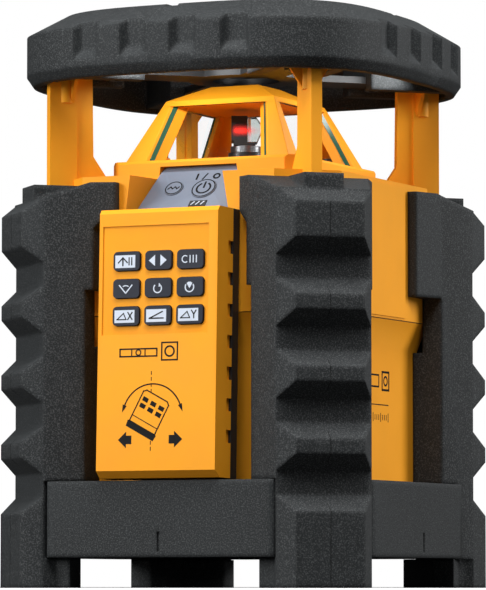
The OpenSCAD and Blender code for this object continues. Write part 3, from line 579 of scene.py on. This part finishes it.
class Sheet:
    """Flat print on a face: shapes are drawn in millimetres across and up from its middle."""

    def __init__(self, middle, out, across=Vector((1, 0, 0))):
        self.middle = middle
        self.out = out.normalized()
        self.across = across
        self.up = self.out.cross(self.across).normalized()
        self.bm = bmesh.new()

    def at(self, x, y, lift):
        return self.middle + (self.across * x + self.up * y + self.out * lift) * MM

    def shape(self, points):
        """A filled outline, as a thin plate that is sunk a little into the face."""
        rows = [[self.bm.verts.new(self.at(x, y, z)) for x, y in points] for z in (-INK_SUNK_MM, INK_MM)]
        self.bm.faces.new(rows[1])
        self.bm.faces.new(rows[0][::-1])
        count = len(points)
        for i in range(count):
            j = (i + 1) % count
            self.bm.faces.new((rows[0][i], rows[0][j], rows[1][j], rows[1][i]))

    def block(self, x, y, w, h):
        self.shape(rectangle(x, y, w, h))

    def line(self, points, width):
        for (ax, ay), (bx, by) in zip(points, points[1:]):
            length = math.hypot(bx - ax, by - ay)
            ux, uy = (bx - ax) / length * width / 2, (by - ay) / length * width / 2
            self.shape([(ax - ux + uy, ay - uy - ux), (bx + ux + uy, by + uy - ux),
                        (bx + ux - uy, by + uy + ux), (ax - ux - uy, ay - uy + ux)])

    def arc(self, x, y, r, start, end, width, steps=24):
        turn = [math.radians(start + (end - start) * i / steps) for i in range(steps + 1)]
        inner = [(x + (r - width / 2) * math.cos(t), y + (r - width / 2) * math.sin(t)) for t in turn]
        outer = [(x + (r + width / 2) * math.cos(t), y + (r + width / 2) * math.sin(t)) for t in turn]
        for i in range(steps):
            self.shape([inner[i], outer[i], outer[i + 1], inner[i + 1]])

    def tip(self, x, y, angle, length, width):
        """A filled arrowhead whose point is at x, y."""
        ux, uy = math.cos(math.radians(angle)), math.sin(math.radians(angle))
        bx, by = x - ux * length, y - uy * length
        sx, sy = -uy * width / 2, ux * width / 2
        self.shape([(x, y), (bx + sx, by + sy), (bx - sx, by - sy)])

    def finish(self, name, body, material):
        add_piece(name, self.bm, body, material)


def face_middle(name, out):
    """The middle of the outermost face of a CAD node towards out."""
    points = [v.co for v in NODES[name].data.vertices]
    top = max(p.dot(out) for p in points)
    near = [p for p in points if top - p.dot(out) < SAME_FACE_MM * MM]
    low = Vector(min(p[i] for p in near) for i in range(3))
    high = Vector(max(p[i] for p in near) for i in range(3))
    return (low + high) / 2


JOINT_AXIS = {j["name"]: Vector(j["axis"]) for j in RECORD["behaviour"]["joints"]}


def key_sheet(key):
    """A sheet on the top of one of the remote's keys."""
    out = -JOINT_AXIS["remote_" + key + "_press"]
    return Sheet(face_middle("remote_key_" + key, out), out)


def light_label(key):
    """Prints a pale label on a key and gives back a sheet on top of it."""
    sheet = key_sheet(key)
    sheet.block(-0.55, -0.15, 9.0, 5.1)
    sheet.finish("label_" + key, "remote_" + key, "ink_light")
    dark = key_sheet(key)
    dark.middle = dark.middle + dark.out * (INK_MM * MM)
    return dark


def key_signs():
    """One generic sign on each of the remote's nine keys."""
    sheet = light_label("shift")
    sheet.line([(-3.6, -0.6), (-1.6, 1.4), (0.4, -0.6)], 0.5)
    sheet.line([(-1.6, 0.6), (-1.6, -1.7)], 0.6)
    for x in (1.2, 2.4):
        sheet.line([(x, -1.5), (x, 1.3)], 0.5)
    sheet.finish("sign_shift", "remote_shift", "ink_dark")

    sheet = key_sheet("scan")
    sheet.tip(-4.2, -0.1, 180, 2.8, 4.6)
    sheet.tip(3.8, -0.1, 0, 2.8, 4.6)
    sheet.finish("sign_scan", "remote_scan", "ink_light")

    sheet = key_sheet("standby")
    sheet.arc(-2.2, 0, 1.35, 50, 310, 0.45)
    for x in (0, 1.4, 2.8):
        sheet.line([(x, -1.3), (x, 1.3)], 0.45)
    sheet.finish("sign_standby", "remote_standby", "ink_light")

    sheet = key_sheet("line")
    sheet.line([(-3.0, 1.3), (-0.2, -1.9), (2.6, 1.3)], 0.5)
    sheet.arc(-0.2, -1.0, 2.2, 55, 125, 0.4, 10)
    sheet.finish("sign_line", "remote_line", "ink_light")

    sheet = key_sheet("rotate")
    sheet.arc(-0.1, -0.3, 1.75, -230, 50, 0.5)
    sheet.tip(0.5, 1.9, 110, 1.5, 1.3)
    sheet.finish("sign_rotate", "remote_rotate", "ink_light")

    sheet = key_sheet("speed")
    sheet.arc(-0.1, -0.2, 1.9, -215, 35, 0.5)
    sheet.shape([(-0.1, -0.7), (1.2, 1.4), (0.4, 1.9), (-0.6, 1.9), (-1.4, 1.4)])
    sheet.finish("sign_speed", "remote_speed", "ink_light")

    for key, strokes in (("slope_x", ([(1.0, -1.4), (2.9, 1.4)], [(1.0, 1.4), (2.9, -1.4)])),
                         ("slope_y", ([(1.0, 1.5), (2.0, 0.0)], [(3.0, 1.5), (2.0, 0.0), (2.0, -1.5)]))):
        sheet = light_label(key)
        sheet.line([(-3.9, -1.4), (0.2, -1.4), (-1.0, 1.1), (-3.9, -1.4)], 0.42)
        for stroke in strokes:
            sheet.line(stroke, 0.5)
        sheet.finish("sign_" + key, "remote_" + key, "ink_dark")

    sheet = light_label("tilt")
    sheet.line([(-3.6, -1.2), (2.6, -1.2)], 0.5)
    sheet.line([(-3.6, -1.2), (2.2, 1.4)], 0.5)
    sheet.finish("sign_tilt", "remote_tilt", "ink_dark")


KEY_STAND_MM = 0.6
BUTTON_STAND_MM = 0.5
GUIDE_LEAN = math.radians(-28)
GUIDE_X, GUIDE_Y = -3.6, -50.6


def leaning(points):
    """Points of the small drawn remote, leaned over and moved to its place on the print."""
    c, s = math.cos(GUIDE_LEAN), math.sin(GUIDE_LEAN)
    return [(GUIDE_X + x * c - y * s, GUIDE_Y + x * s + y * c) for x, y in points]


def remote_signs():
    """A vial mark and a turning guide below the keys, both generic."""
    out = -JOINT_AXIS["remote_rotate_press"]
    sheet = Sheet(face_middle("remote_key_rotate", out) - out * KEY_STAND_MM * MM, out)
    for y in (-24.4, -27.4):
        sheet.block(-8.6, y, 16.6, 0.6)
    for x in (-16.9, -0.3):
        sheet.block(x, -25.9, 0.6, 3.6)
    sheet.arc(-8.6, -25.9, 1.1, 0, 360, 0.5, 20)
    for x in (-11.6, -5.6):
        sheet.block(x, -25.9, 0.5, 3.0)
    for y in (-22.1, -29.1):
        sheet.block(5.4, y, 7.6, 0.6)
    for x in (1.9, 8.9):
        sheet.block(x, -25.6, 0.6, 7.6)
    sheet.arc(5.4, -25.6, 2.0, 0, 360, 0.7)
    sheet.arc(-2.0, -52, 13.4, 22, 158, 0.55, 40)
    sheet.tip(11.6, -49.9, -68, 3.2, 1.9)
    sheet.tip(-15.6, -49.9, -112, 3.2, 1.9)
    for y in (-34.2, -36.6, -39.0, -41.4, -62.2, -64.6):
        sheet.block(-2.6, y, 0.35, 1.5)
    outline = [(-6.4, -6.2), (-6.4, 7.0), (-5.2, 8.0), (5.2, 8.0), (6.4, 7.0), (6.4, -6.2), (-6.4, -6.2)]
    sheet.line(leaning(outline), 0.5)
    sheet.line(leaning([(-6.4, -3.6), (6.4, -3.6)]), 0.35)
    sheet.shape(leaning([(-6.9, -8.8), (6.9, -8.8), (7.2, -6.2), (-7.2, -6.2)]))
    for x in (-4.0, 0, 4.0):
        for y in (1.6, 4.4):
            sheet.shape(leaning(rectangle(x, y, 2.6, 1.8)))
    middle = -2.8
    arrow = [(14.4, -60.9), (10.8, -64.2), (10.8, -62.6), (8.4, -62.6), (8.4, -59.2), (10.8, -59.2),
             (10.8, -57.6)]
    for side in (-1, 1):
        sheet.shape([(middle + side * x, y) for x, y in arrow])
    sheet.finish("remote_print", "remote", "ink_dark")


def panel_signs():
    """Signs on the silver panel and its two buttons."""
    for button, body, r in (("power_button", "power_key", 5.4), ("manual_button", "manual_key", 4.0)):
        out = -JOINT_AXIS[button + "_press"]
        sheet = Sheet(face_middle(button, out), out)
        sheet.arc(0, 0, r - 0.45, 0, 360, 0.45, 40)
        if button == "power_button":
            sheet.arc(0, 0, 3.0, 118, 422, 0.8, 32)
            sheet.line([(0, 0.4), (0, 3.4)], 0.8)
        else:
            sheet.line([(-2.4, -0.6), (-1.4, 0.6), (-0.4, -0.6), (0.6, 0.6), (1.6, -0.6), (2.4, 0.4)], 0.55)
        sheet.finish(button + "_sign", body, "ink_dark")

    out = -JOINT_AXIS["power_button_press"]
    sheet = Sheet(face_middle("power_button", out) - out * BUTTON_STAND_MM * MM, out)
    sheet.line([(-5.4, 6.1), (-5.4, 8.9)], 0.8)
    sheet.line([(-2.6, 5.9), (-1.2, 9.1)], 0.6)
    sheet.arc(3.4, 7.5, 1.3, 0, 360, 0.8, 24)
    sheet.finish("panel_print", "chassis", "ink_dark")

    sheet = Sheet(face_middle("tilt_lamp", out), out)
    for x in (-2.2, 0, 2.2):
        sheet.line([(x - 0.5, -0.7), (x + 0.5, 0.8)], 0.5)
    sheet.finish("tilt_lamp_sign", "chassis", "ink_light")


SIGN_MIDDLE_MM = 85
NARROW_BELOW_MM = 95


def housing_signs():
    """A vial mark and a scale line on the right side of the housing."""
    points = [v.co for v in NODES["lower_housing"].data.vertices]
    side_x = max(p.x for p in points if p.z < NARROW_BELOW_MM * MM)
    sheet = Sheet(Vector((side_x, 0, SIGN_MIDDLE_MM * MM)), Vector((1, 0, 0)), across=Vector((0, 1, 0)))
    for y in (4.0, -3.4):
        sheet.block(9.6, y, 7.4, 0.9)
    for x in (6.2, 13.0):
        sheet.block(x, 0.3, 0.9, 8.2)
    sheet.arc(9.6, 0.3, 1.8, 0, 360, 0.8)
    for y in (2.6, -2.2):
        sheet.block(-8.0, y, 22.0, 0.7)
    for x in (-18.8, -10.4, -5.6, 2.8):
        sheet.block(x, 0.2, 0.7, 5.4)
    sheet.block(-3.6, -9.6, 32.0, 0.4)
    for i in range(9):
        sheet.block(-3.0 + i * 1.9, -14.8, 0.5, 3.6 if i % 4 == 0 else 2.2)
    sheet.finish("housing_print", "chassis", "ink_dark")


key_signs()
remote_signs()
panel_signs()
housing_signs()


# ---- floor, light and camera ----

VIEW_AZIMUTH = math.radians(25.8)
VIEW_DISTANCE = 1.75
LENS_MM = 255.7
EYE_HEIGHT = 0.0006
AIM_HEIGHT = 0.1223
AIM_LEFT = 0.0012
FLOOR_SIZE = 6
FLOOR_DROP = 0.0002
FLOOR_SEEN = 0.86
FLOOR_BOUNCE = 0.04
AMBIENT = 0.10
OBJECT_MIDDLE = Vector((0, 0, 0.12))
HEAD_MIDDLE = Vector((0, 0, 0.196))


def pale_floor():
    """A pale floor for the camera that throws only a little light back at the object."""
    bpy.ops.mesh.primitive_plane_add(size=FLOOR_SIZE, location=(0, 0, -FLOOR_DROP))
    floor = bpy.context.object
    floor.name = "floor"
    made, tree, shader, place = new_material("floor")
    seen = node(tree, "ShaderNodeLightPath").outputs["Is Camera Ray"]
    pale = ramp(tree, noise(tree, place, 400, 3.0), [(0.3, grey(FLOOR_SEEN)), (0.7, grey(FLOOR_SEEN + 0.04))])
    tree.links.new(mix(tree, seen, grey(FLOOR_BOUNCE), pale), shader.inputs["Base Color"])
    shader.inputs["Roughness"].default_value = 0.7
    floor.data.materials.append(made)


def white_backdrop():
    """A world that looks white to the camera and lights the object only weakly."""
    world = bpy.data.worlds.new("studio")
    world.use_nodes = True
    tree = world.node_tree
    path = node(tree, "ShaderNodeLightPath")
    straight = node(tree, "ShaderNodeMath", {0: path.outputs["Is Camera Ray"],
                                             1: path.outputs["Is Transmission Ray"]}, operation="MAXIMUM")
    strength = node(tree, "ShaderNodeMix", {0: straight.outputs[0], 2: AMBIENT, 3: 1.0})
    back = tree.nodes["Background"]
    back.inputs["Color"].default_value = (1, 1, 1, 1)
    tree.links.new(strength.outputs[0], back.inputs["Strength"])
    bpy.context.scene.world = world


def aim(obj, target):
    obj.rotation_euler = (target - obj.location).to_track_quat("-Z", "Y").to_euler()
    bpy.context.scene.collection.objects.link(obj)


def lamp(name, place, target, size, power):
    """A rectangular lamp at a place, aimed at a target."""
    data = bpy.data.lights.new(name, "AREA")
    data.shape = "RECTANGLE"
    data.size, data.size_y = size
    data.energy = power
    made = bpy.data.objects.new(name, data)
    made.location = place
    aim(made, target)
    return made


def studio_lamp(name, azimuth, elevation, distance, size, power):
    """A large soft lamp, placed by its direction from the middle of the object."""
    a, e = math.radians(azimuth), math.radians(elevation)
    away = Vector((math.sin(a) * math.cos(e), -math.cos(a) * math.cos(e), math.sin(e)))
    lamp(name, OBJECT_MIDDLE + distance * away, OBJECT_MIDDLE, size, power)


def roof_lamp(name, place, power):
    """A small hidden lamp under the roof, aimed at the laser head."""
    lamp(name, place, HEAD_MIDDLE, (0.05, 0.012), power).visible_camera = False


def camera():
    """The camera: level with the feet, to the right of the front, with a long lens."""
    data = bpy.data.cameras.new("camera")
    data.sensor_fit = "VERTICAL"
    data.sensor_height = 36
    data.lens = LENS_MM
    data.clip_start = 0.05
    seen = bpy.data.objects.new("camera", data)
    away = Vector((math.sin(VIEW_AZIMUTH), -math.cos(VIEW_AZIMUTH), 0))
    side = Vector((math.cos(VIEW_AZIMUTH), math.sin(VIEW_AZIMUTH), 0))
    seen.location = away * VIEW_DISTANCE + Vector((0, 0, EYE_HEIGHT))
    aim(seen, Vector((0, 0, AIM_HEIGHT)) - side * AIM_LEFT)
    bpy.context.scene.camera = seen


pale_floor()
white_backdrop()
studio_lamp("key", -36, 20, 1.5, (0.6, 0.8), 18.5)
studio_lamp("side", 120, 22, 1.5, (0.6, 0.8), 17)
studio_lamp("top", 26, 66, 1.3, (1.0, 1.0), 27)
roof_lamp("roof_front", (-0.005, -0.062, 0.2165), 0.045)
roof_lamp("roof_right", (0.062, 0.005, 0.2165), 0.035)
camera()
bpy.context.scene.view_settings.view_transform = "Standard"
